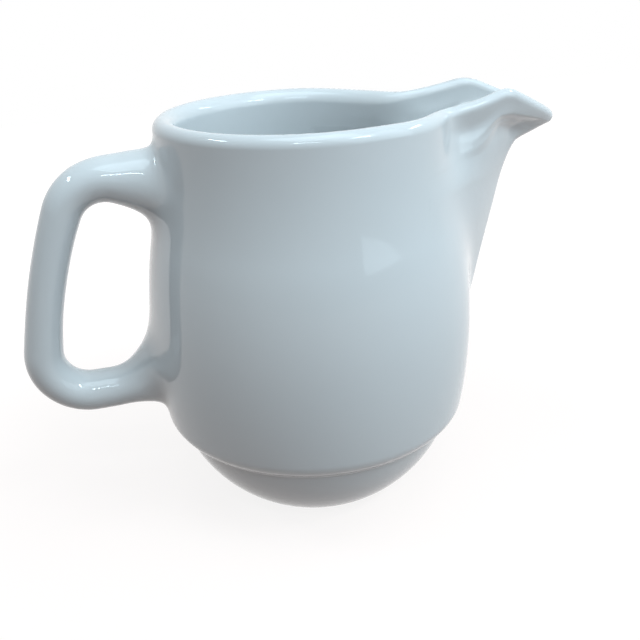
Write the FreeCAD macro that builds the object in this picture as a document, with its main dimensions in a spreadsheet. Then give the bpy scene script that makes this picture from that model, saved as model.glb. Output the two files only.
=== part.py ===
import FreeCAD, Part
import math
import os
import Sketcher

# Porcelain jug: one fired piece. Millimetres, foot on z = 0, jug axis on z,
# spout towards +X, handle towards -X, symmetric about the XZ plane.

os.makedirs("parts", exist_ok=True)
doc = FreeCAD.newDocument("PorcelainJug")

SIZES = {
    # outside of the turned body
    "foot_radius": 16.6,
    "bowl_radius": 34.0,
    "ring_height": 20.3,
    "ring_inset": 3.8,
    "ring_step": 0.9,
    "belly_height": 43.4,
    "belly_radius": 38.2,
    "rim_height": 93.8,
    "rim_radius": 32.3,
    # inside of the turned body
    "floor_thick": 6.0,
    "floor_radius": 14.0,
    "wall_belly": 4.6,
    "wall_rim": 5.4,
    # rim line seen from the side, measured from the rim
    "dip_radius": 40.0,
    "ear_rise": 1.8,
    "ear_out": 11.7,
    "ear_radius": 9.0,
    "fall_drop": 7.9,
    "fall_out": 34.7,
    # roundings
    "foot_round": 1.2,
    "lip_round": 1.5,
    "spout_blend": 4.0,
    # handle: its arms hang from the rim and the belly, its bends stand off the wall
    "handle_width": 10.6,
    "handle_thick": 8.6,
    "upper_arm_drop": 10.4,
    "upper_arm_sink": 2.8,
    "upper_bend": 11.5,
    "upper_bend_out": 10.6,
    "lower_arm_drop": 9.6,
    "lower_arm_sink": 3.7,
    "lower_bend": 10.0,
    "lower_bend_out": 14.5,
    "grip_radius": 150.0,
    # flares where the arms meet the body
    "upper_flare_middle_out": 7.2,
    "upper_flare_middle_drop": 1.2,
    "upper_flare_middle_more": 3.0,
    "upper_flare_end_out": 0.7,
    "upper_flare_end_drop": 5.2,
    "upper_flare_end_more": 11.8,
    "lower_flare_start_out": 11.8,
    "lower_flare_middle_out": 5.3,
    "lower_flare_middle_rise": 0.8,
    "lower_flare_middle_more": 4.2,
    "lower_flare_end_sink": 1.7,
    "lower_flare_end_rise": 3.2,
    "lower_flare_end_more": 9.0,
    "flare_middle_wider": 1.4,
    "flare_end_wider": 5.4,
    # how far inside the rim's radius the sections of the spout and of its channel start
    "spout_sink": 10.3,
    "channel_sink": 16.3,
    "section_step": 3.0,
}

# what follows other sizes
TIED = {
    "ring_radius": "belly_radius - ring_inset",
    "ear_height": "rim_height + ear_rise",
    "ear_reach": "rim_radius + ear_out",
    "fall_height": "rim_height - fall_drop",
    "fall_reach": "rim_radius + fall_out",
    "upper_arm_height": "rim_height - upper_arm_drop",
    "upper_arm_start": "rim_radius - upper_arm_sink",
    "upper_bend_reach": "rim_radius + upper_bend_out",
    "lower_arm_height": "belly_height - lower_arm_drop",
    "lower_arm_start": "belly_radius - lower_arm_sink",
    "lower_bend_reach": "belly_radius + lower_bend_out",
    "upper_flare_start": "rim_radius + upper_bend_out",
    "upper_flare_middle": "rim_radius + upper_flare_middle_out",
    "upper_flare_middle_height": "upper_arm_height - upper_flare_middle_drop",
    "upper_flare_end": "rim_radius + upper_flare_end_out",
    "upper_flare_end_height": "upper_arm_height - upper_flare_end_drop",
    "lower_flare_start": "belly_radius + lower_flare_start_out",
    "lower_flare_middle": "belly_radius + lower_flare_middle_out",
    "lower_flare_middle_height": "lower_arm_height + lower_flare_middle_rise",
    "lower_flare_end": "belly_radius - lower_flare_end_sink",
    "lower_flare_end_height": "lower_arm_height + lower_flare_end_rise",
    "upper_flare_middle_thick": "handle_thick + upper_flare_middle_more",
    "upper_flare_end_thick": "handle_thick + upper_flare_end_more",
    "lower_flare_middle_thick": "handle_thick + lower_flare_middle_more",
    "lower_flare_end_thick": "handle_thick + lower_flare_end_more",
    "flare_middle_width": "handle_width + flare_middle_wider",
    "flare_end_width": "handle_width + flare_end_wider",
    "spout_root": "rim_radius - spout_sink",
    "channel_root": "rim_radius - channel_sink",
}

# each level: drop below the rim, reach of the nose beyond the rim's radius, nose radius,
# half width at the root, flank radius
LEVEL_WORDS = ("drop", "out", "nose", "half", "flank")
SECTION_WORDS = ("reach", "nose", "half", "flank")
SPOUT_LEVELS = {
    "base": (55.8, 3.7, 12.0, 17.0, 200.0),
    "low": (45.8, 9.2, 10.0, 20.5, 150.0),
    "mid": (36.8, 11.8, 8.0, 22.5, 150.0),
    "high": (26.8, 14.5, 6.5, 23.5, 150.0),
    "neck": (17.8, 17.0, 5.5, 23.0, 150.0),
    "throat": (12.2, 20.0, 5.0, 19.5, 90.0),
    "under": (9.8, 25.5, 4.4, 17.0, 65.0),
    "jut": (7.8, 29.6, 4.0, 15.6, 60.0),
    "beak": (5.2, 30.4, 3.8, 14.6, 58.0),
    "crown": (-6.2, 30.4, 3.8, 14.6, 58.0),
}
CHANNEL_LEVELS = {
    "sill": (48.8, -2.3, 9.0, 12.0, 200.0),
    "inner": (35.8, 7.5, 6.0, 17.5, 150.0),
    "upper": (23.8, 11.3, 4.5, 19.0, 150.0),
    "gully": (13.8, 14.9, 3.5, 17.5, 120.0),
    "slope": (9.3, 18.1, 2.8, 14.0, 70.0),
    "run": (5.8, 25.7, 2.0, 10.8, 58.0),
    "brim": (2.8, 26.9, 1.8, 10.2, 58.0),
    "open": (-8.2, 26.9, 1.8, 10.2, 58.0),
}

sheet = doc.addObject("Spreadsheet::Sheet", "Sizes")
all_sizes = dict(SIZES)
for levels in (SPOUT_LEVELS, CHANNEL_LEVELS):
    for level, numbers in levels.items():
        for word, number in zip(LEVEL_WORDS, numbers):
            all_sizes[level + "_" + word] = number
        TIED[level + "_height"] = "rim_height - " + level + "_drop"
        TIED[level + "_reach"] = "rim_radius + " + level + "_out"
for row, (name, number) in enumerate(all_sizes.items(), start=1):
    sheet.set("A%d" % row, name)
    sheet.set("B%d" % row, str(number))
    sheet.setAlias("B%d" % row, name)
doc.recompute()


# ---------------------------------------------------------------- helpers
def size(text):
    """Value of a sum such as "ring_radius - ring_step", read from the sheet."""
    total, sign = 0.0, 1.0
    for word in text.split():
        if word in ("+", "-"):
            sign = 1.0 if word == "+" else -1.0
        elif word[0].isdigit():
            total += sign * float(word)
        else:
            total += sign * (size(TIED[word]) if word in TIED else float(getattr(sheet, word)))
    return total


def formula(text):
    """The same sum as a FreeCAD expression."""
    words = []
    for word in text.split():
        if word in TIED:
            words.append("(" + formula(TIED[word]) + ")")
        else:
            words.append("Sizes." + word if word[0].isalpha() else word)
    return " ".join(words)


jug = doc.addObject("PartDesign::Body", "jug")
jug.Label = "jug"


def plane(role):
    for feature in jug.Origin.OriginFeatures:
        if feature.Role == role:
            return feature
    raise RuntimeError("no origin plane " + role)


class Profile:
    """A sketch on an origin plane whose points and radii are driven by the sheet."""

    def __init__(self, name, role, offset=None):
        self.sketch = jug.newObject("Sketcher::SketchObject", name)
        self.sketch.AttachmentSupport = [(plane(role), "")]
        self.sketch.MapMode = "FlatFace"
        self.turned_round = set()
        if offset:
            self.sketch.setExpression("AttachmentOffset.Base.z", formula(offset))

    def add(self, edge, start=None):
        """Sketch arcs run anticlockwise; note those that leave the chain's start point last."""
        number = self.sketch.addGeometry(edge, False)
        if start and edge.StartPoint.distanceToPoint(start) > edge.EndPoint.distanceToPoint(start):
            self.turned_round.add(number)
        return number

    def end(self, edge, which):
        """Vertex number of the start (1), end (2) or centre (3) as drawn here."""
        return 3 - which if edge in self.turned_round and which < 3 else which

    def line(self, start, end):
        return self.add(Part.LineSegment(start, end))

    def rule(self, kind, *places):
        self.sketch.addConstraint(Sketcher.Constraint(kind, *places))

    def drive(self, kind, places, text):
        number = self.sketch.addConstraint(Sketcher.Constraint(kind, *places, size(text)))
        self.sketch.setExpression("Constraints[%d]" % number, formula(text))

    def pin(self, edge, end, across, along):
        self.drive("DistanceX", (-1, 1, edge, self.end(edge, end)), across)
        self.drive("DistanceY", (-1, 1, edge, self.end(edge, end)), along)

    def chain(self, edges, smooth=()):
        """Join the edges end to end; a pair in smooth meets in a tangent."""
        for here, after in zip(edges, edges[1:]):
            kind = "Tangent" if (here, after) in smooth else "Coincident"
            self.rule(kind, here, self.end(here, 2), after, self.end(after, 1))


def vec(across, along):
    return FreeCAD.Vector(across, along, 0)


def point(across, along):
    return vec(size(across), size(along))


def arc_between(start, end, radius, side):
    """Arc through start and end; side +1 puts its centre to the left of that way."""
    chord = end.sub(start)
    drop = math.sqrt(max(radius * radius - chord.Length ** 2 / 4.0, 0.0))
    left = vec(-chord.y, chord.x).normalize()
    centre = start.add(chord * 0.5).add(left * (drop * side))
    through = centre.add(left * (-side * radius))
    return Part.Arc(start, through, end) if side > 0 else Part.Arc(end, through, start)


# ---------------------------------------------------------------- turned body
def wall_curve(profile, belly, rim):
    """Two equal arcs, upright at the belly and at the rim, that meet in a tangent."""
    rise, run = (rim.y - belly.y) / 2.0, (belly.x - rim.x) / 2.0
    radius = (rise * rise + run * run) / (2.0 * run)
    middle = vec(belly.x - run, belly.y + rise)
    lower = profile.add(arc_between(belly, middle, radius, 1))
    upper = profile.add(arc_between(middle, rim, radius, -1), middle)
    profile.rule("Equal", lower, upper)
    profile.drive("DistanceY", (-1, 1, lower, 3), "belly_height")
    profile.drive("DistanceY", (-1, 1, upper, 3), "rim_height")
    return lower, upper


def outside_profile():
    profile = Profile("OutsideProfile", "XZ_Plane")
    centre, foot = vec(0, 0), point("foot_radius", "0")
    bowl_top = point("ring_radius - ring_step", "ring_height")
    ring = point("ring_radius", "ring_height")
    belly = point("belly_radius", "belly_height")
    hub = point("ring_radius", "belly_height")
    rim = point("rim_radius", "rim_height")
    base = profile.line(centre, foot)
    bowl = profile.add(arc_between(foot, bowl_top, size("bowl_radius"), 1))
    step = profile.line(bowl_top, ring)
    shoulder = profile.add(Part.ArcOfEllipse(Part.Ellipse(ring, belly, hub), 0, math.pi / 2))
    lower, upper = wall_curve(profile, belly, rim)
    stem = profile.line(rim, point("rim_radius", "crown_height"))
    top = profile.line(point("rim_radius", "crown_height"), point("0", "crown_height"))
    axis = profile.line(point("0", "crown_height"), centre)
    profile.chain([base, bowl, step, shoulder, lower, upper, stem, top, axis, base], [(lower, upper)])
    profile.rule("Coincident", base, 1, -1, 1)
    profile.pin(base, 2, "foot_radius", "0")
    profile.drive("Radius", (bowl,), "bowl_radius")
    profile.pin(step, 1, "ring_radius - ring_step", "ring_height")
    profile.pin(step, 2, "ring_radius", "ring_height")
    profile.pin(shoulder, 3, "ring_radius", "belly_height")
    profile.pin(lower, 1, "belly_radius", "belly_height")
    profile.pin(upper, 2, "rim_radius", "rim_height")
    profile.pin(stem, 2, "rim_radius", "crown_height")
    profile.pin(top, 2, "0", "crown_height")
    profile.sketch.exposeInternalGeometry(shoulder)
    profile.rule("Vertical", axis + 1)
    return profile.sketch


def inside_profile():
    profile = Profile("InsideProfile", "XZ_Plane")
    floor = point("floor_radius", "floor_thick")
    belly = point("belly_radius - wall_belly", "belly_height")
    rim = point("rim_radius - wall_rim", "rim_height")
    crown = point("rim_radius - wall_rim", "crown_height + 1")
    run, rise = belly.x - floor.x, belly.y - floor.y
    base = profile.line(point("0", "floor_thick"), floor)
    bowl = profile.add(arc_between(floor, belly, (run * run + rise * rise) / (2.0 * run), 1))
    lower, upper = wall_curve(profile, belly, rim)
    stem = profile.line(rim, crown)
    top = profile.line(crown, vec(0, crown.y))
    axis = profile.line(vec(0, crown.y), point("0", "floor_thick"))
    profile.chain([base, bowl, lower, upper, stem, top, axis, base], [(lower, upper)])
    profile.pin(base, 1, "0", "floor_thick")
    profile.pin(base, 2, "floor_radius", "floor_thick")
    profile.drive("DistanceY", (-1, 1, bowl, 3), "belly_height")
    profile.pin(lower, 1, "belly_radius - wall_belly", "belly_height")
    profile.pin(upper, 2, "rim_radius - wall_rim", "rim_height")
    profile.pin(stem, 2, "rim_radius - wall_rim", "crown_height + 1")
    profile.pin(top, 2, "0", "crown_height + 1")
    return profile.sketch


def turned(kind, name, profile):
    feature = jug.newObject(kind, name)
    feature.Profile = profile
    feature.ReferenceAxis = (profile, ["V_Axis"])
    feature.Angle = 360.0
    profile.Visibility = False
    return feature


# ---------------------------------------------------------------- spout
def between_levels(levels, word, height):
    """Monotone curve through the sizes of the named levels."""
    heights = [size(level + "_height") for level in levels]
    values = [size(level + "_" + word) for level in levels]
    slopes = [(b - a) / (q - p) for a, b, p, q in zip(values, values[1:], heights, heights[1:])]
    bends = [slopes[0]]
    for before, after in zip(slopes, slopes[1:]):
        together = before * after > 0
        bends.append(2.0 * before * after / (before + after) if together else 0.0)
    bends.append(slopes[-1])
    place = max(i for i in range(len(levels) - 1) if i == 0 or heights[i] <= height)
    span = heights[place + 1] - heights[place]
    part = (height - heights[place]) / span
    rest = 1.0 - part
    first = values[place] * (1.0 + 2.0 * part) + span * bends[place] * part
    last = values[place + 1] * (3.0 - 2.0 * part) - span * bends[place + 1] * rest
    return first * rest * rest + last * part * part


def beak_section(name, height, root, reach, nose_r, half, flank_r):
    """Level section: a round nose and two long arcs tangent to it, back to the root line."""
    profile = Profile(name, "XY_Plane")
    profile.sketch.AttachmentOffset = FreeCAD.Placement(FreeCAD.Vector(0, 0, height), FreeCAD.Rotation())
    centre, right, left = vec(reach - nose_r, 0), vec(root, half), vec(root, -half)
    span = centre.sub(right)
    along = (flank_r ** 2 - (flank_r - nose_r) ** 2 + span.Length ** 2) / (2.0 * span.Length)
    drop = math.sqrt(flank_r ** 2 - along ** 2)
    unit = span * (1.0 / span.Length)
    flank_centre = right.add(unit * along).add(vec(unit.y, -unit.x) * drop)
    touch = centre.add(centre.sub(flank_centre).normalize() * nose_r)
    touch_left = vec(touch.x, -touch.y)
    profile.add(arc_between(touch, right, flank_r, 1))
    profile.line(right, left)
    profile.add(arc_between(left, touch_left, flank_r, 1))
    profile.add(Part.Arc(touch_left, vec(reach, 0), touch))
    profile.chain([0, 1, 2, 3, 0], [(2, 3), (3, 0)])
    profile.sketch.Visibility = False
    return profile.sketch


def beak_loft(kind, name, levels, root):
    first, last = (size(list(levels)[place] + "_height") for place in (0, -1))
    count = int(round((last - first) / size("section_step")))
    sections = []
    for number in range(count + 1):
        height = first + (last - first) * number / count
        shape = [between_levels(levels, word, height) for word in SECTION_WORDS]
        sections.append(beak_section("%sSection%d" % (name, number), height, size(root), *shape))
    feature = jug.newObject(kind, name)
    feature.Profile = sections[0]
    feature.Sections = sections[1:]
    feature.Ruled = False
    return feature


# ---------------------------------------------------------------- handle
def grip_hub(upper, lower, to_upper, to_lower):
    """The point at these distances from the two bend centres, on the jug's side of them."""
    gap = lower.sub(upper)
    along = (to_upper ** 2 - to_lower ** 2 + gap.Length ** 2) / (2.0 * gap.Length)
    aside = math.sqrt(to_upper ** 2 - along ** 2)
    unit = gap * (1.0 / gap.Length)
    return upper.add(unit * along).add(vec(-unit.y, unit.x) * aside)


def handle_path():
    """Arm, bend, bowed grip, bend, arm; every piece meets the next in a tangent."""
    profile = Profile("HandlePath", "XZ_Plane")
    grip_r, upper_r, lower_r = size("grip_radius"), size("upper_bend"), size("lower_bend")
    upper = point("0 - upper_bend_reach", "upper_arm_height - upper_bend")
    lower = point("0 - lower_bend_reach", "lower_arm_height + lower_bend")
    hub = grip_hub(upper, lower, grip_r - upper_r, grip_r - lower_r)
    first = profile.line(point("0 - upper_arm_start", "upper_arm_height"), upper.add(vec(0, upper_r)))
    on_grip = [hub.add(bend.sub(hub).normalize() * grip_r) for bend in (upper, lower)]
    bend_one = profile.add(arc_between(upper.add(vec(0, upper_r)), on_grip[0], upper_r, 1))
    grip = profile.add(arc_between(on_grip[0], on_grip[1], grip_r, 1))
    bend_two = profile.add(arc_between(on_grip[1], lower.sub(vec(0, lower_r)), lower_r, 1))
    last = profile.line(lower.sub(vec(0, lower_r)), point("0 - lower_arm_start", "lower_arm_height"))
    edges = [first, bend_one, grip, bend_two, last]
    profile.chain(edges, list(zip(edges, edges[1:])))
    profile.rule("Horizontal", first)
    profile.rule("Horizontal", last)
    profile.pin(first, 1, "0 - upper_arm_start", "upper_arm_height")
    profile.pin(last, 2, "0 - lower_arm_start", "lower_arm_height")
    profile.drive("DistanceX", (-1, 1, bend_one, 3), "0 - upper_bend_reach")
    profile.drive("DistanceX", (-1, 1, bend_two, 3), "0 - lower_bend_reach")
    profile.drive("Radius", (bend_one,), "upper_bend")
    profile.drive("Radius", (grip,), "grip_radius")
    profile.drive("Radius", (bend_two,), "lower_bend")
    return profile.sketch


def oval_section(name, out, height, width, thick):
    """Upright oval across the handle, so far out from the jug's axis."""
    profile = Profile(name, "YZ_Plane", "0 - " + out)
    wide, deep = size(width) / 2.0, size(thick) / 2.0
    oval = profile.sketch.addGeometry(Part.Ellipse(point("0", height), max(wide, deep), min(wide, deep)), False)
    if deep > wide:
        ends = vec(0, size(height) + deep), vec(wide, size(height))
        profile.sketch.delGeometry(oval)
        oval = profile.sketch.addGeometry(Part.Ellipse(*ends, point("0", height)), False)
    profile.sketch.exposeInternalGeometry(oval)
    major, minor = oval + 1, oval + 2
    profile.drive("DistanceX", (-1, 1, oval, 3), "0")
    profile.drive("DistanceY", (-1, 1, oval, 3), height)
    profile.drive("Distance", (major,), thick if deep > wide else width)
    profile.drive("Distance", (minor,), width if deep > wide else thick)
    profile.rule("Vertical" if deep > wide else "Horizontal", major)
    profile.sketch.Visibility = False
    return profile.sketch


def flare(arm):
    """The arm swells into the body: a smooth loft through three ovals."""
    name = arm.capitalize() + "Flare"
    ovals = [
        oval_section(name + "Start", arm + "_flare_start", arm + "_arm_height", "handle_width", "handle_thick"),
        oval_section(name + "Middle", arm + "_flare_middle", arm + "_flare_middle_height",
                     "flare_middle_width", arm + "_flare_middle_thick"),
        oval_section(name + "End", arm + "_flare_end", arm + "_flare_end_height",
                     "flare_end_width", arm + "_flare_end_thick"),
    ]
    feature = jug.newObject("PartDesign::AdditiveLoft", name)
    feature.Profile = ovals[0]
    feature.Sections = ovals[1:]
    return feature


def rim_profile():
    """Everything above the rim line, seen from the side."""
    profile = Profile("RimProfile", "XZ_Plane")
    ear_r, dip_r = size("ear_radius"), size("dip_radius")
    ear = point("ear_reach", "ear_height - ear_radius")
    tip = point("fall_reach", "fall_height")
    rise = size("rim_height") + dip_r - ear.y
    run = math.sqrt((dip_r + ear_r) ** 2 - rise ** 2)
    dip = vec(ear.x - run, size("rim_height") + dip_r)
    dip_end = dip.add(ear.sub(dip).normalize() * dip_r)
    gap = tip.sub(ear)
    half_turn = math.acos(ear_r / gap.Length)
    bearing = math.atan2(gap.y, gap.x) + half_turn
    ear_end = ear.add(vec(math.cos(bearing), math.sin(bearing)) * ear_r)
    far, behind, top = size("fall_reach + 5"), size("0 - belly_radius - 10"), size("crown_height + 5")
    flat_end = vec(dip.x, size("rim_height"))
    flat = profile.line(vec(behind, flat_end.y), flat_end)
    hollow = profile.add(arc_between(flat_end, dip_end, dip_r, 1))
    crest = profile.add(arc_between(dip_end, ear_end, ear_r, -1), dip_end)
    fall = profile.line(ear_end, tip)
    out = profile.line(tip, vec(far, tip.y))
    up = profile.line(vec(far, tip.y), vec(far, top))
    over = profile.line(vec(far, top), vec(behind, top))
    down = profile.line(vec(behind, top), vec(behind, flat_end.y))
    smooth = [(flat, hollow), (hollow, crest), (crest, fall)]
    profile.chain([flat, hollow, crest, fall, out, up, over, down, flat], smooth)
    profile.rule("Horizontal", flat)
    profile.pin(flat, 1, "0 - belly_radius - 10", "rim_height")
    profile.drive("Radius", (hollow,), "dip_radius")
    profile.drive("Radius", (crest,), "ear_radius")
    profile.pin(crest, 3, "ear_reach", "ear_height - ear_radius")
    profile.pin(fall, 2, "fall_reach", "fall_height")
    profile.pin(out, 2, "fall_reach + 5", "fall_height")
    profile.pin(up, 2, "fall_reach + 5", "crown_height + 5")
    profile.pin(over, 2, "0 - belly_radius - 10", "crown_height + 5")
    profile.sketch.Visibility = False
    return profile.sketch


# ---------------------------------------------------------------- roundings
NEAR = 0.02
SAMPLES = (0.05, 0.5, 0.95)


def edges_where(shape, test):
    """Names of the edges whose sampled points pass the test and that don't cross the rim."""
    names = []
    for number, edge in enumerate(shape.Edges, start=1):
        if edge.Degenerated or edge.BoundBox.XLength < NEAR:
            continue
        first, last = edge.ParameterRange
        if all(test(edge.valueAt(first + (last - first) * part)) for part in SAMPLES):
            names.append("Edge%d" % number)
    return names


def rounded(name, base, test, radius):
    feature = jug.newObject("PartDesign::Fillet", name)
    feature.Base = (base, edges_where(base.Shape, test))
    feature.setExpression("Radius", formula(radius))
    return feature


def wall_radius_at(height):
    """Outer radius of the turned body at a height on its two wall arcs."""
    belly, rim = point("belly_radius", "belly_height"), point("rim_radius", "rim_height")
    rise, run = (rim.y - belly.y) / 2.0, (belly.x - rim.x) / 2.0
    radius = (rise * rise + run * run) / (2.0 * run)
    if height <= belly.y:
        part = (belly.y - height) / (belly.y - size("ring_height"))
        bulge = size("belly_radius - ring_radius") * math.sqrt(max(1.0 - part * part, 0.0))
        return size("ring_radius") + bulge
    if height <= belly.y + rise:
        return belly.x - radius + math.sqrt(radius ** 2 - (height - belly.y) ** 2)
    if height <= rim.y:
        return rim.x + radius - math.sqrt(radius ** 2 - (rim.y - height) ** 2)
    return rim.x


def on_wall(spot):
    return abs(math.hypot(spot.x, spot.y) - wall_radius_at(spot.z)) < NEAR


def on_spout_crease(spot):
    return spot.x > size("spout_root") and abs(spot.y) > NEAR and on_wall(spot)


def on_foot_edge(spot):
    return abs(spot.z) < NEAR and abs(math.hypot(spot.x, spot.y) - size("foot_radius")) < NEAR


def on_rim(spot):
    return abs(spot.z - rim_height_at(spot.x)) < NEAR


def rim_height_at(reach):
    """Height of the rim line, the same two arcs and falling line as RimProfile."""
    ear_r, dip_r = size("ear_radius"), size("dip_radius")
    ear = point("ear_reach", "ear_height - ear_radius")
    fall = point("fall_reach", "fall_height")
    rise = size("rim_height") + dip_r - ear.y
    flat_end = ear.x - math.sqrt((dip_r + ear_r) ** 2 - rise ** 2)
    dip_end = flat_end + (ear.x - flat_end) * dip_r / (dip_r + ear_r)
    gap = fall.sub(ear)
    bearing = math.atan2(gap.y, gap.x) + math.acos(ear_r / gap.Length)
    ear_end = ear.x + math.cos(bearing) * ear_r
    if reach <= flat_end:
        return size("rim_height")
    if reach <= dip_end:
        return size("rim_height") + dip_r - math.sqrt(dip_r ** 2 - (reach - flat_end) ** 2)
    if reach <= ear_end:
        return ear.y + math.sqrt(ear_r ** 2 - (reach - ear.x) ** 2)
    return fall.y + (fall.x - reach) / math.tan(bearing)


# ---------------------------------------------------------------- build
turned_body = turned("PartDesign::Revolution", "TurnedBody", outside_profile())
doc.recompute()
spout = beak_loft("PartDesign::AdditiveLoft", "Spout", SPOUT_LEVELS, "spout_root")
doc.recompute()
rounded("SpoutCrease", spout, on_spout_crease, "spout_blend")

path = handle_path()
path.Visibility = False
handle = jug.newObject("PartDesign::AdditivePipe", "Handle")
handle.Profile = oval_section(
    "HandleSection", "upper_arm_start", "upper_arm_height", "handle_width", "handle_thick")
handle.Spine = (path, [])
handle.Mode = "Frenet"
handle.Transition = "Round corner"
flare("upper")
flare("lower")

rim_cut = jug.newObject("PartDesign::Pocket", "RimCut")
rim_cut.Profile = rim_profile()
rim_cut.Type = "ThroughAll"
rim_cut.Midplane = True
cavity = turned("PartDesign::Groove", "Cavity", inside_profile())
channel = beak_loft("PartDesign::SubtractiveLoft", "Channel", CHANNEL_LEVELS, "channel_root")
doc.recompute()
lip = rounded("LipRound", channel, on_rim, "lip_round")
doc.recompute()
foot = rounded("FootRound", lip, on_foot_edge, "foot_round")
jug.Tip = foot
doc.recompute()

# ---------------------------------------------------------------- checks and hand-over
for thing in doc.Objects:
    if "Invalid" in thing.State or "Error" in thing.State:
        raise RuntimeError("broken: " + thing.Name)
    if thing.TypeId.startswith("PartDesign::") and hasattr(thing, "Shape"):
        if thing.Shape.isNull() or not thing.Shape.isValid():
            raise RuntimeError("bad shape: " + thing.Name)
if len(jug.Shape.Solids) != 1:
    raise RuntimeError("the jug is one solid, not %d" % len(jug.Shape.Solids))
if cavity.Shape.Volume >= rim_cut.Shape.Volume or channel.Shape.Volume >= cavity.Shape.Volume:
    raise RuntimeError("a cut took nothing away")

solid = jug.Shape.Solids[0]
solid.exportStep("parts/jug.step")
box = solid.BoundBox
print("jug", round(solid.Volume), "mm3", [round(v, 2) for v in (box.XMin, box.XMax, box.YMin, box.YMax, box.ZMin, box.ZMax)])
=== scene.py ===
import math
import bpy
import numpy as np
from mathutils import Matrix, Vector


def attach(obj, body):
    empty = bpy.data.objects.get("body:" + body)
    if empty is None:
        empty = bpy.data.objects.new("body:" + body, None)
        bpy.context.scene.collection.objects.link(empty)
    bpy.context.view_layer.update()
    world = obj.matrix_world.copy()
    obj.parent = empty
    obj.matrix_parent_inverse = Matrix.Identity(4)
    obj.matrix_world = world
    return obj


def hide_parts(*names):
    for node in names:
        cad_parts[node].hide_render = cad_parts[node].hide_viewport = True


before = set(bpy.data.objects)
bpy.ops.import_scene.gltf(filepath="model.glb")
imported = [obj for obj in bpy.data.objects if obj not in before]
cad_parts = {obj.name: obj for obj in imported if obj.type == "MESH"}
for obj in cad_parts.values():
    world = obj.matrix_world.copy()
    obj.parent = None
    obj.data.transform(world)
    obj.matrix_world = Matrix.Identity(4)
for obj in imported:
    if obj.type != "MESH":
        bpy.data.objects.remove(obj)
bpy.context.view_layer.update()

MM = 0.001

# ------------------------------------------------------------------ sizes, in mm
# body: foot, bowl below the ring, shoulder above it, belly, drawn-in neck
FOOT_RADIUS, FOOT_ROUND = 16.6, 1.3
BOWL_RADIUS, BOWL_TOP, RING_HEIGHT = 34.0, 33.5, 20.3
BOWL_END, BOWL_END_ROUND, RING_FILLET = 26.0, 0.5, 0.9
SHOULDER_ROUND, SHOULDER_BOTTOM = 4.6, 19.8
BELLY_RADIUS, BELLY_HEIGHT, BELLY_CURVE, BELLY_DEPTH = 38.19, 43.4, 120.0, 40.0
RIM_RADIUS, RIM_HEIGHT = 32.3, 93.8
# inside
FLOOR, FLOOR_ROUND = 6.0, 5.0
WALL_BELLY, WALL_RIM, FLOOR_RADIUS = 4.6, 5.4, 14.0
LEAST_WALL, WALL_FILLET = 2.4, 1.5
# rim seen from the side: a slight sag that leads into the dip, the ear, a straight fall to the tip
DIP_RADIUS, EAR_REACH, EAR_HEIGHT, EAR_RADIUS = 40.0, 44.0, 95.6, 9.0
FALL_REACH, FALL_HEIGHT = 67.0, 85.9
SAG, SAG_START, SAG_END = 0.6, (6.0, 24.0), (40.0, 26.0)
# lip: its outer and inner rounding, and how much smaller they are along the beak
LIP_OUT, LIP_OUT_LESS = 2.4, 0.3
LIP_IN, LIP_IN_LESS = 3.3, 1.5
BEAK_ALONG = (20.0, 34.0)
# scoop along the beak's sides, under a slightly flared lip, which lifts towards the ears
SIDE, SCOOP_ALONG = (1.0, 5.5), (27.0, 35.0)
SCOOP, SCOOP_DEPTH, SCOOP_SPREAD = 1.1, 6.8, 3.4
LIP_FLARE, LIP_DEPTH = 0.5, 2.5
BEAK_HEIGHT, LIFT_SHARE, LIFT_MOST = 88.6, 0.6, 8.0
LIFT_ALONG, LIFT_UP = (34.0, 44.0), (77.0, 89.0)
# where the beak and its channel start inside the body, and their fillets
SPOUT_ROOT, SPOUT_FILLET = 22.0, 5.0
CHANNEL_ROOT, CHANNEL_FILLET = 16.0, 10.0
LEVEL_STEP = 0.25
# levels of each: height, reach of the nose, nose radius, half width at the root, flank radius
SPOUT = np.array([
    (38.0, 36.0, 12.0, 17.0, 200.0),
    (48.0, 41.5, 10.0, 20.5, 150.0),
    (57.0, 44.1, 8.0, 22.5, 150.0),
    (67.0, 46.8, 6.5, 23.5, 150.0),
    (76.0, 49.3, 5.5, 23.0, 150.0),
    (81.6, 52.3, 5.0, 19.5, 90.0),
    (84.0, 57.8, 4.4, 17.0, 65.0),
    (86.0, 61.9, 4.0, 15.6, 60.0),
    (88.6, 62.6, 3.8, 14.6, 58.0),
    (100.0, 62.6, 3.8, 14.6, 58.0),
])
CHANNEL = np.array([
    (45.0, 30.0, 9.0, 12.0, 200.0),
    (58.0, 39.8, 6.0, 17.5, 150.0),
    (70.0, 43.6, 4.5, 19.0, 150.0),
    (80.0, 47.2, 3.5, 17.5, 120.0),
    (84.5, 50.4, 2.8, 14.0, 70.0),
    (88.0, 58.0, 2.0, 11.5, 58.0),
    (91.0, 59.4, 1.8, 11.0, 58.0),
    (102.0, 59.4, 1.8, 11.0, 58.0),
])


# ------------------------------------------------------------------ smooth field tools
def smin(a, b, k):
    """Union with a fillet about k wide."""
    h = np.maximum(k - np.abs(a - b), 0.0) / k
    return np.minimum(a, b) - h * h * h * k / 6.0


def corner(a, b, r):
    """Intersection with a rounded edge of radius r."""
    u, v = a + r, b + r
    return np.hypot(np.maximum(u, 0), np.maximum(v, 0)) + np.minimum(np.maximum(u, v), 0) - r


def ramp(x, start, end):
    """0 at start and before it, 1 at end and past it, smooth between."""
    t = np.clip((x - start) / (end - start), 0.0, 1.0)
    return t * t * (3.0 - 2.0 * t)


def slopes(table):
    """Slopes of the monotone cubic through each column of a list of levels."""
    step = np.diff(table[:, 0])[:, None]
    rate = np.diff(table[:, 1:], axis=0) / step
    same = rate[:-1] * rate[1:] > 0
    total = np.where(same, rate[:-1] + rate[1:], 1.0)
    inner = np.where(same, 2.0 * rate[:-1] * rate[1:] / total, 0.0)
    return np.vstack([rate[:1], inner, rate[-1:]])


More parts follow.
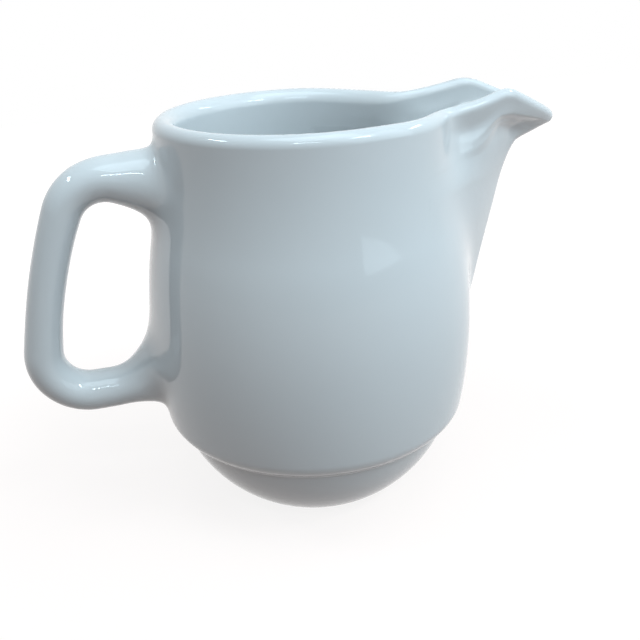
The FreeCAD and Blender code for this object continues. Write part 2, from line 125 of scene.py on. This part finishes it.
SPOUT_SLOPES, CHANNEL_SLOPES = slopes(SPOUT), slopes(CHANNEL)


def sizes_at(table, slope, z):
    """The four sizes of a section at height z."""
    z = np.clip(z, table[0, 0], table[-1, 0])
    i = np.clip(np.searchsorted(table[:, 0], z, side="right") - 1, 0, len(table) - 2)
    span = table[i + 1, 0] - table[i, 0]
    t = (z - table[i, 0]) / span
    out = []
    for c in range(1, 5):
        a, b = table[i, c], table[i + 1, c]
        p, q = slope[i, c - 1] * span, slope[i + 1, c - 1] * span
        out.append(a * (1 + 2 * t) * (1 - t) ** 2 + p * t * (1 - t) ** 2
                   + b * t * t * (3 - 2 * t) - q * t * t * (1 - t))
    return out


def beak_level(table, slope, root, x, y, z):
    """Distance, within its level, to a section with a round nose and two long arcs."""
    reach, nose, half, flank = sizes_at(table, slope, z)
    cx = reach - nose
    dx, dy = cx - root, -half
    span = np.hypot(dx, dy)
    along = (flank ** 2 - (flank - nose) ** 2 + span ** 2) / (2 * span)
    drop = np.sqrt(np.maximum(flank ** 2 - along ** 2, 0))
    ux, uy = dx / span, dy / span
    fx, fy = root + ux * along + uy * drop, half + uy * along - ux * drop
    ox, oy = cx - fx, -fy
    size = np.hypot(ox, oy)
    y = np.abs(y)
    px, py = x - cx, y
    in_nose = (px * oy - py * ox) / size > 0
    return np.where(in_nose, np.hypot(px, py) - nose, np.hypot(x - fx, y - fy) - flank)


def beak(table, slope, root, x, y, z):
    """Distance to the beak's or channel's wall; it leans, so the level's distance is too long."""
    here = beak_level(table, slope, root, x, y, z)
    above = beak_level(table, slope, root, x, y, z + LEVEL_STEP)
    beneath = beak_level(table, slope, root, x, y, z - LEVEL_STEP)
    rise = (above - beneath) / (2 * LEVEL_STEP)
    return here / np.sqrt(1.0 + rise * rise)


# ------------------------------------------------------------------ the jug as fields
def s_curve(z, low_r, high_r):
    """Two equal arcs, upright at the belly and at the rim."""
    rise, run = (RIM_HEIGHT - BELLY_HEIGHT) / 2, (low_r - high_r) / 2
    radius = (rise * rise + run * run) / (2 * run)
    up = np.clip(z - BELLY_HEIGHT, 0, rise)
    down = np.clip(RIM_HEIGHT - z, 0, rise)
    lower = low_r - radius + np.sqrt(radius ** 2 - up ** 2)
    upper = high_r + radius - np.sqrt(radius ** 2 - down ** 2)
    part = np.where(z < BELLY_HEIGHT + rise, up, down) / radius
    return np.where(z < BELLY_HEIGHT + rise, lower, upper), np.sqrt(1 - part * part)


def outer_body(r, z):
    """The turned body: belly and neck over the ring, bowl and foot under it."""
    wall, lean = s_curve(z, BELLY_RADIUS, RIM_RADIUS)
    below = np.clip(BELLY_HEIGHT - z, 0, BELLY_DEPTH)
    wall = wall - BELLY_CURVE + np.sqrt(BELLY_CURVE ** 2 - below ** 2)
    lean = lean * np.sqrt(1 - (below / BELLY_CURVE) ** 2)
    upper = corner((r - wall) * lean, SHOULDER_BOTTOM - z, SHOULDER_ROUND)
    chord = math.hypot(BOWL_TOP - FOOT_RADIUS, RING_HEIGHT)
    drop = math.sqrt(BOWL_RADIUS ** 2 - chord ** 2 / 4)
    cx = (BOWL_TOP + FOOT_RADIUS) / 2 - RING_HEIGHT / chord * drop
    cz = RING_HEIGHT / 2 + (BOWL_TOP - FOOT_RADIUS) / chord * drop
    bowl = np.hypot(r - cx, np.minimum(z, BOWL_END) - cz) - BOWL_RADIUS
    bowl = corner(corner(bowl, -z, FOOT_ROUND), z - BOWL_END, BOWL_END_ROUND)
    return smin(upper, bowl, RING_FILLET)


def inner_body(r, z):
    """The space inside, with a rounded floor."""
    low, high = BELLY_RADIUS - WALL_BELLY, RIM_RADIUS - WALL_RIM
    wall, lean = s_curve(z, low, high)
    run, rise = low - FLOOR_RADIUS, BELLY_HEIGHT - FLOOR
    radius = (run * run + rise * rise) / (2 * run)
    bowl = np.hypot(r - (low - radius), z - BELLY_HEIGHT) - radius
    side = np.where(z < BELLY_HEIGHT, bowl, (r - wall) * lean)
    return corner(side, FLOOR - z, FLOOR_ROUND)


def rim_line(x):
    """Height of the rim seen from the side, and the cosine of its slope."""
    ear_z = EAR_HEIGHT - EAR_RADIUS
    rise = RIM_HEIGHT + DIP_RADIUS - ear_z
    flat_end = EAR_REACH - math.sqrt((DIP_RADIUS + EAR_RADIUS) ** 2 - rise ** 2)
    dip_end = flat_end + (EAR_REACH - flat_end) * DIP_RADIUS / (DIP_RADIUS + EAR_RADIUS)
    gx, gz = FALL_REACH - EAR_REACH, FALL_HEIGHT - ear_z
    bearing = math.atan2(gz, gx) + math.acos(EAR_RADIUS / math.hypot(gx, gz))
    ear_end = EAR_REACH + math.cos(bearing) * EAR_RADIUS
    a = np.clip(x - flat_end, 0, dip_end - flat_end)
    b = np.clip(x - EAR_REACH, dip_end - EAR_REACH, ear_end - EAR_REACH)
    dip = RIM_HEIGHT + DIP_RADIUS - np.sqrt(DIP_RADIUS ** 2 - a * a)
    ear = ear_z + np.sqrt(EAR_RADIUS ** 2 - b * b)
    fall = FALL_HEIGHT + (FALL_REACH - x) / math.tan(bearing)
    z = np.where(x < dip_end, dip, np.where(x < ear_end, ear, fall))
    z = z - SAG * ramp(x, *SAG_START) * ramp(x, *SAG_END)
    tilt = np.where(x < dip_end, a / DIP_RADIUS, np.where(x < ear_end, b / EAR_RADIUS, math.cos(bearing)))
    return z, np.sqrt(1 - tilt * tilt)


# handle's centreline, seen from the side: arm, bend, bowed grip, bend, arm; it ends inside the wall
ARM_TOP, ARM_LOW, ARM_MIDDLE, ARM_END = 83.6, 33.9, 60.0, -29.0
GRIP_HUB, GRIP_RADIUS = (66.1, 25.3), 130.0
BEND_TOP, BEND_LOW = 11.8, 10.1
# half sizes of its oval bar, and how much thicker it is near the top and low down
BAR_THICK, BAR_WIDE = 4.0, 5.3
THICKER_TOP, THICKER_LOW = 0.25, 0.5
TOP_PART, LOW_PART = (66.0, 84.0), (56.0, 36.0)
# where the arms swell towards the wall, and how much; the top one droops and the low one rises
TOP_FLARE, LOW_FLARE = (-52.0, -34.0), (-48.5, -36.0)
TOP_SWELL, LOW_SWELL, SWELL_WIDER, SWELL_POWER = 2.2, 3.2, 1.6, 1.5
TOP_DROOP, LOW_RISE = 1.8, 2.2
# these keep the bar's distance steady at its core, where it isn't defined
CORE_RATIO, TINY = 0.3, 1e-6
# fillet at the wall, larger at the arms' inner sides
BAR_FILLET, INNER_FILLET = 4.0, 8.0
INNER_LOW, INNER_TOP = (30.0, 42.0), (88.0, 78.0)


def bend_hub(arm, bend, turn):
    """Centre of a bend that is tangent to its arm and to the grip."""
    z = arm - turn * bend
    return GRIP_HUB[0] - math.sqrt((GRIP_RADIUS - bend) ** 2 - (z - GRIP_HUB[1]) ** 2), z


TOP_HUB, LOW_HUB = bend_hub(ARM_TOP, BEND_TOP, 1.0), bend_hub(ARM_LOW, BEND_LOW, -1.0)


def turn_at(hub):
    """Bearing, seen from the grip's hub, at which the grip turns into a bend."""
    return math.atan2(hub[1] - GRIP_HUB[1], hub[0] - GRIP_HUB[0]) % (2 * math.pi)


def handle(x, y, z):
    """Oval bar along the centreline, swollen where it meets the wall."""
    upper_half = z > ARM_MIDDLE
    top_out, low_out = ramp(x, *TOP_FLARE), ramp(x, *LOW_FLARE)
    z = z + np.where(upper_half, TOP_DROOP * top_out, -LOW_RISE * low_out)
    bearing = np.arctan2(z - GRIP_HUB[1], x - GRIP_HUB[0]) % (2 * math.pi)
    grip = np.hypot(x - GRIP_HUB[0], z - GRIP_HUB[1]) - GRIP_RADIUS
    top_bend = np.hypot(x - TOP_HUB[0], z - TOP_HUB[1]) - BEND_TOP
    low_bend = np.hypot(x - LOW_HUB[0], z - LOW_HUB[1]) - BEND_LOW
    top = np.where(x < TOP_HUB[0], top_bend, z - ARM_TOP)
    low = np.where(x < LOW_HUB[0], low_bend, ARM_LOW - z)
    on_top = (bearing < turn_at(TOP_HUB)) | (upper_half & (x > TOP_HUB[0]))
    on_low = (bearing > turn_at(LOW_HUB)) | (~upper_half & (x > LOW_HUB[0]))
    d = np.where(on_top, top, np.where(on_low, low, grip))
    thick = BAR_THICK + THICKER_TOP * ramp(z, *TOP_PART) + THICKER_LOW * ramp(z, *LOW_PART)
    arm_out = np.where(upper_half, top_out, low_out)
    thick = thick + np.where(upper_half, TOP_SWELL, LOW_SWELL) * arm_out ** SWELL_POWER
    wide = BAR_WIDE + SWELL_WIDER * arm_out
    ratio = np.sqrt((d / thick) ** 2 + (y / wide) ** 2)
    pull = np.sqrt((d / thick ** 2) ** 2 + (y / wide ** 2) ** 2) + TINY
    return np.maximum((ratio - 1.0) * np.maximum(ratio, CORE_RATIO) / pull, x - ARM_END)


def spout_side(x, y, z, line):
    """The beak, with a scoop along its sides under the lip; line is the rim's height there."""
    aside = ramp(np.abs(y), *SIDE)
    lift = np.clip(line - BEAK_HEIGHT, 0.0, LIFT_MOST) * ramp(x, *LIFT_ALONG)
    low = z - LIFT_SHARE * lift * aside * ramp(z, *LIFT_UP)
    side = beak(SPOUT, SPOUT_SLOPES, SPOUT_ROOT, x, y, low)
    depth = line - z
    scoop = SCOOP * np.exp(-((depth - SCOOP_DEPTH) / SCOOP_SPREAD) ** 2)
    lip = LIP_FLARE * np.exp(-(depth / LIP_DEPTH) ** 2)
    return side + (scoop - lip) * aside * ramp(x, *SCOOP_ALONG)


def field(p):
    """About the distance in mm from each point to the jug's surface, less than 0 in the porcelain."""
    x, y, z = p[..., 0], p[..., 1], p[..., 2]
    r = np.hypot(x, y)
    line, slope = rim_line(x)
    body = outer_body(r, z)
    spout = np.maximum(spout_side(x, y, z, line), np.maximum(SPOUT_ROOT - x, SPOUT[0, 0] - z))
    body = smin(body, spout, SPOUT_FILLET)
    fillet = BAR_FILLET + INNER_FILLET * ramp(z, *INNER_LOW) * ramp(z, *INNER_TOP)
    body = smin(body, handle(x, y, z), fillet)
    hollow = inner_body(r, z)
    channel = np.maximum(beak(CHANNEL, CHANNEL_SLOPES, CHANNEL_ROOT, x, y, z),
                         np.maximum(CHANNEL_ROOT - x, CHANNEL[0, 0] - z))
    hollow = smin(hollow, channel, CHANNEL_FILLET)
    hollow = -smin(-hollow, -body - LEAST_WALL, WALL_FILLET)
    top = (z - line) * slope
    beak_part = ramp(x, *BEAK_ALONG)
    outside = corner(body, top, LIP_OUT - LIP_OUT_LESS * beak_part)
    inside = corner(-hollow, top, LIP_IN - LIP_IN_LESS * beak_part)
    return np.maximum(outside, inside)


# ------------------------------------------------------------------ from field to mesh
# grid lines in mm: (start, end, step), finer at the spout, the ring, the foot and the rim;
# those across are for one side, mirrored and then moved a little off the middle plane
LINES_X = ((-69.0, 38.0, 0.8), (38.0, 65.0, 0.55))
LINES_Y = ((0.0, 14.0, 0.6), (14.0, 40.0, 0.8))
LINES_Z = ((-1.2, 2.4, 0.45), (2.4, 19.4, 0.8), (19.4, 22.2, 0.28), (22.2, 78.0, 0.8), (78.0, 98.0, 0.5))
OFF_MIDDLE = 0.013
SLOPE_STEP, LEAST_SLOPE, LONGEST_MOVE = 0.02, 0.2, 0.5


def axis(stretches):
    """Grid lines over (start, end, step) stretches, one after another."""
    lines = []
    for start, end, step in stretches:
        count = max(1, int(round((end - start) / step)))
        lines.append(np.linspace(start, end, count, endpoint=False))
    return np.append(np.concatenate(lines), stretches[-1][1])


def surface(xs, ys, zs):
    """Surface nets: a vertex in each cell that the surface crosses, a quad round each crossed line."""
    f = np.empty((len(xs), len(ys), len(zs)), np.float32)
    gy, gz = np.meshgrid(ys, zs, indexing="ij")
    for i, x in enumerate(xs):
        f[i] = field(np.stack([np.full_like(gy, x), gy, gz], -1))
    neg = f < 0
    count = sum(neg[a:len(xs) - 1 + a, b:len(ys) - 1 + b, c:len(zs) - 1 + c].astype(np.int8)
                for a in (0, 1) for b in (0, 1) for c in (0, 1))
    cells = np.argwhere((count > 0) & (count < 8))
    number = np.full(count.shape, -1, np.int64)
    number[tuple(cells.T)] = np.arange(len(cells))
    corners = [(a, b, c) for a in (0, 1) for b in (0, 1) for c in (0, 1)]
    lines = (xs, ys, zs)
    where = {k: np.stack([lines[d][cells[:, d] + k[d]] for d in range(3)], -1) for k in corners}
    value = {k: f[tuple((cells + k).T)].astype(float) for k in corners}
    total, hits = np.zeros((len(cells), 3)), np.zeros(len(cells))
    for k in corners:
        for d in range(3):
            if k[d]:
                continue
            m = tuple(1 if n == d else k[n] for n in range(3))
            a, b = value[k], value[m]
            cross = (a < 0) != (b < 0)
            t = np.where(cross, a / np.where(cross, a - b, 1.0), 0.0)[:, None]
            total += np.where(cross[:, None], where[k] * (1 - t) + where[m] * t, 0.0)
            hits += cross
    verts = total / hits[:, None]
    quads = []
    for d in range(3):
        n, m = [e for e in range(3) if e != d]
        low = [slice(None)] * 3
        high = [slice(None)] * 3
        low[d], high[d] = slice(None, -1), slice(1, None)
        change = neg[tuple(low)] != neg[tuple(high)]
        at = np.argwhere(change)
        inside = [(at[:, e] > 0) & (at[:, e] < f.shape[e] - 1) for e in (n, m)]
        at = at[inside[0] & inside[1]]
        loop = []
        for dn, dm in ((1, 1), (0, 1), (0, 0), (1, 0)):
            c = at.copy()
            c[:, n] -= dn
            c[:, m] -= dm
            loop.append(number[tuple(c.T)])
        loop = np.stack(loop, -1)
        out = neg[tuple(at.T)]
        flip = out if d != 1 else ~out
        loop[~flip] = loop[~flip][:, ::-1]
        quads.append(loop)
    return verts, np.concatenate(quads)


def gradient(p):
    g = np.empty_like(p)
    for d in range(3):
        step = np.zeros(3)
        step[d] = SLOPE_STEP
        g[:, d] = (field(p + step) - field(p - step)) / (2 * SLOPE_STEP)
    return g


def settle(verts, rounds=4):
    """Newton steps along the field's slope, on to the surface."""
    for _ in range(rounds):
        g = gradient(verts)
        pull = field(verts) / np.maximum((g * g).sum(1), LEAST_SLOPE)
        verts = verts - g * np.clip(pull, -LONGEST_MOVE, LONGEST_MOVE)[:, None]
    return verts


half = axis(LINES_Y)
across_lines = np.concatenate([-half[:0:-1], half]) + OFF_MIDDLE
verts, quads = surface(axis(LINES_X), across_lines, axis(LINES_Z))
verts = settle(verts)
normals = gradient(verts)
normals /= np.linalg.norm(normals, axis=1)[:, None]

mesh = bpy.data.meshes.new("porcelain")
mesh.from_pydata((verts * MM).tolist(), [], quads.tolist())
mesh.update()
mesh.polygons.foreach_set("use_smooth", [True] * len(mesh.polygons))
mesh.normals_split_custom_set_from_vertices(normals.tolist())
jug = bpy.data.objects.new("porcelain", mesh)
bpy.context.collection.objects.link(jug)


# ------------------------------------------------------------------ glaze
GLAZE_IOR = 1.52
GLAZE_DARK, GLAZE_LIGHT = (0.755, 0.79, 0.81, 1.0), (0.81, 0.83, 0.835, 1.0)
GLAZE_SMOOTH, GLAZE_DULL = 0.03, 0.07
CLOUD_SCALE, SMEAR_SCALE, RIPPLE_SCALE = 28.0, 60.0, 140.0
RIPPLE_STRENGTH, RIPPLE_HEIGHT = 0.08, 0.0004


def porcelain():
    """Glazed white with faint clouds, and a glaze that isn't quite even."""
    material = bpy.data.materials.new("porcelain")
    material.use_nodes = True
    nodes, links = material.node_tree.nodes, material.node_tree.links
    shader = nodes["Principled BSDF"]
    shader.inputs["IOR"].default_value = GLAZE_IOR
    place = nodes.new("ShaderNodeTexCoord")

    def noise(scale, detail):
        node = nodes.new("ShaderNodeTexNoise")
        node.inputs["Scale"].default_value = scale
        node.inputs["Detail"].default_value = detail
        node.inputs["Roughness"].default_value = 0.5
        links.new(place.outputs["Object"], node.inputs["Vector"])
        return node

    def spread(source, low, high):
        node = nodes.new("ShaderNodeMapRange")
        node.inputs["To Min"].default_value = low
        node.inputs["To Max"].default_value = high
        links.new(source, node.inputs["Value"])
        return node.outputs["Result"]

    clouds = noise(CLOUD_SCALE, 3.0)
    tint = nodes.new("ShaderNodeMix")
    tint.data_type = "RGBA"
    tint.inputs["A"].default_value = GLAZE_DARK
    tint.inputs["B"].default_value = GLAZE_LIGHT
    links.new(clouds.outputs["Fac"], tint.inputs["Factor"])
    links.new(tint.outputs["Result"], shader.inputs["Base Color"])
    smears = noise(SMEAR_SCALE, 2.0)
    links.new(spread(smears.outputs["Fac"], GLAZE_SMOOTH, GLAZE_DULL), shader.inputs["Roughness"])
    ripple = nodes.new("ShaderNodeBump")
    ripple.inputs["Strength"].default_value = RIPPLE_STRENGTH
    ripple.inputs["Distance"].default_value = RIPPLE_HEIGHT
    links.new(noise(RIPPLE_SCALE, 2.0).outputs["Fac"], ripple.inputs["Height"])
    links.new(ripple.outputs["Normal"], shader.inputs["Normal"])
    return material


mesh.materials.append(porcelain())
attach(jug, "root")
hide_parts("jug")


# ------------------------------------------------------------------ floor, light, camera
SEEN_RAYS = ("Is Camera Ray", "Is Glossy Ray", "Is Transmission Ray")
WHITE = (1.0, 1.0, 1.0, 1.0)
FLOOR_COLOUR, FLOOR_REACH = (0.21, 0.16, 0.145, 1.0), 0.6
# painted shade: how much the floor's seen lift is dimmed round the jug, fading out from NEAR to FAR
# metres off the jug's axis, so that the real cast shadow shows through
PAINTED_SHADE_ROOM, PAINTED_SHADE_NEAR, PAINTED_SHADE_FAR = 0.14, 0.07, 0.20


def seen_directly(nodes, links):
    """1 for what the camera, a reflection or a refraction sees, 0 for other light paths."""
    path = nodes.new("ShaderNodeLightPath")
    total = path.outputs[SEEN_RAYS[0]]
    for name in SEEN_RAYS[1:]:
        both = nodes.new("ShaderNodeMath")
        both.operation = "MAXIMUM"
        links.new(total, both.inputs[0])
        links.new(path.outputs[name], both.inputs[1])
        total = both.outputs["Value"]
    return total


def pale_floor():
    """Matt; seen directly it is lifted to white, a little less round the jug: painted shade that lets the
    real cast shadow show.
    """
    material = bpy.data.materials.new("floor")
    material.use_nodes = True
    nodes, links = material.node_tree.nodes, material.node_tree.links
    shader = nodes["Principled BSDF"]
    shader.inputs["Base Color"].default_value = FLOOR_COLOUR
    shader.inputs["Roughness"].default_value = 0.9
    shader.inputs["Specular IOR Level"].default_value = 0.0
    place = nodes.new("ShaderNodeTexCoord")
    away = nodes.new("ShaderNodeVectorMath")
    away.operation = "LENGTH"
    links.new(place.outputs["Object"], away.inputs[0])
    # painted shade: the lift is dimmed near the jug's axis, which deepens the real cast shadow there
    painted_shade_level = nodes.new("ShaderNodeMapRange")
    painted_shade_level.interpolation_type = "SMOOTHSTEP"
    painted_shade_level.inputs["From Min"].default_value = PAINTED_SHADE_NEAR
    painted_shade_level.inputs["From Max"].default_value = PAINTED_SHADE_FAR
    painted_shade_level.inputs["To Min"].default_value = 1.0 - PAINTED_SHADE_ROOM
    painted_shade_level.inputs["To Max"].default_value = 1.0
    links.new(away.outputs["Value"], painted_shade_level.inputs["Value"])
    seen = nodes.new("ShaderNodeMath")
    seen.operation = "MULTIPLY"
    links.new(seen_directly(nodes, links), seen.inputs[0])
    links.new(painted_shade_level.outputs["Result"], seen.inputs[1])
    lift = nodes.new("ShaderNodeEmission")
    lift.inputs["Color"].default_value = WHITE
    links.new(seen.outputs["Value"], lift.inputs["Strength"])
    both = nodes.new("ShaderNodeAddShader")
    links.new(shader.outputs["BSDF"], both.inputs[0])
    links.new(lift.outputs["Emission"], both.inputs[1])
    links.new(both.outputs["Shader"], nodes["Material Output"].inputs["Surface"])
    return material


floor_mesh = bpy.data.meshes.new("floor")
floor_corners = [(a * FLOOR_REACH, b * FLOOR_REACH, 0) for a, b in ((-1, -1), (1, -1), (1, 1), (-1, 1))]
floor_mesh.from_pydata(floor_corners, [], [(0, 1, 2, 3)])
floor = bpy.data.objects.new("floor", floor_mesh)
bpy.context.collection.objects.link(floor)
floor_mesh.materials.append(pale_floor())


# metres, watts, and degrees round the jug and above the floor
AIM = Vector((0.0, 0.0, 0.05))
DAYLIGHT = (0.72, 0.90, 1.0)
TUBE_AWAY, TUBE_LONG, TUBE_THIN = 0.9, 0.26, 0.05


def softbox(name, at, wide, high, power):
    lamp = bpy.data.lights.new(name, "AREA")
    lamp.shape = "RECTANGLE"
    lamp.size, lamp.size_y = wide, high
    lamp.energy = power
    lamp.color = DAYLIGHT
    thing = bpy.data.objects.new(name, lamp)
    thing.location = at
    thing.rotation_euler = (AIM - Vector(at)).to_track_quat("-Z", "Y").to_euler()
    bpy.context.collection.objects.link(thing)


def tube(name, azimuth, elevation, power):
    """A short bright strip overhead; it gives the glaze its small crisp highlights."""
    a, e = math.radians(azimuth), math.radians(elevation)
    at = Vector((math.cos(a) * math.cos(e), math.sin(a) * math.cos(e), math.sin(e))) * TUBE_AWAY
    softbox(name, at, TUBE_LONG, TUBE_THIN, power)


softbox("key", (0.54, -0.46, 0.48), 0.9, 0.9, 3.4)
softbox("top", (0.05, -0.15, 0.90), 0.6, 0.6, 3.2)
tube("tube front", -100.0, 47.0, 0.8)
tube("tube right", -50.0, 48.0, 1.2)
tube("tube far right", 12.0, 37.0, 0.5)
tube("tube left", 170.0, 50.0, 0.9)

# a weak warm-white world lights the jug, and what sees the world directly gets plain white
WORLD_COLOUR, WORLD_STRENGTH = (1.0, 0.96, 0.95, 1.0), 0.17
world = bpy.data.worlds.new("studio")
bpy.context.scene.world = world
world.use_nodes = True
nodes, links = world.node_tree.nodes, world.node_tree.links
plain_light = nodes["Background"]
plain_light.inputs["Color"].default_value = WORLD_COLOUR
plain_light.inputs["Strength"].default_value = WORLD_STRENGTH
white = nodes.new("ShaderNodeBackground")
white.inputs["Color"].default_value = WHITE
white.inputs["Strength"].default_value = 1.0
choose = nodes.new("ShaderNodeMixShader")
links.new(seen_directly(nodes, links), choose.inputs["Fac"])
links.new(plain_light.outputs["Background"], choose.inputs[1])
links.new(white.outputs["Background"], choose.inputs[2])
links.new(choose.outputs["Shader"], nodes["World Output"].inputs["Surface"])

# the camera looks down at a point a little to the spout's side of the axis; angles in radians, the
# point in millimetres, the camera's distance from it in metres
YAW, TILT, ROLL = math.radians(15.2), 0.414, 0.0474
ASIDE, ALOFT = 2.22, 42.71
DISTANCE, LENS = 0.200, 46.02
TARGET = Vector((ASIDE * math.cos(YAW), -ASIDE * math.sin(YAW), ALOFT)) * MM
back = Vector((-math.cos(TILT) * math.sin(YAW), -math.cos(TILT) * math.cos(YAW), math.sin(TILT)))
right = Vector((math.cos(YAW), -math.sin(YAW), 0.0))
up = back.cross(right)
across = right * math.cos(ROLL) - up * math.sin(ROLL)
upward = right * math.sin(ROLL) + up * math.cos(ROLL)
camera_data = bpy.data.cameras.new("camera")
camera_data.sensor_width = 36.0
camera_data.lens = LENS
camera_data.clip_start = 0.01
camera = bpy.data.objects.new("camera", camera_data)
turn = Matrix((across, upward, back)).transposed().to_4x4()
camera.matrix_world = Matrix.Translation(TARGET + back * DISTANCE) @ turn
bpy.context.collection.objects.link(camera)
bpy.context.scene.camera = camera
bpy.context.scene.view_settings.view_transform = "Standard"
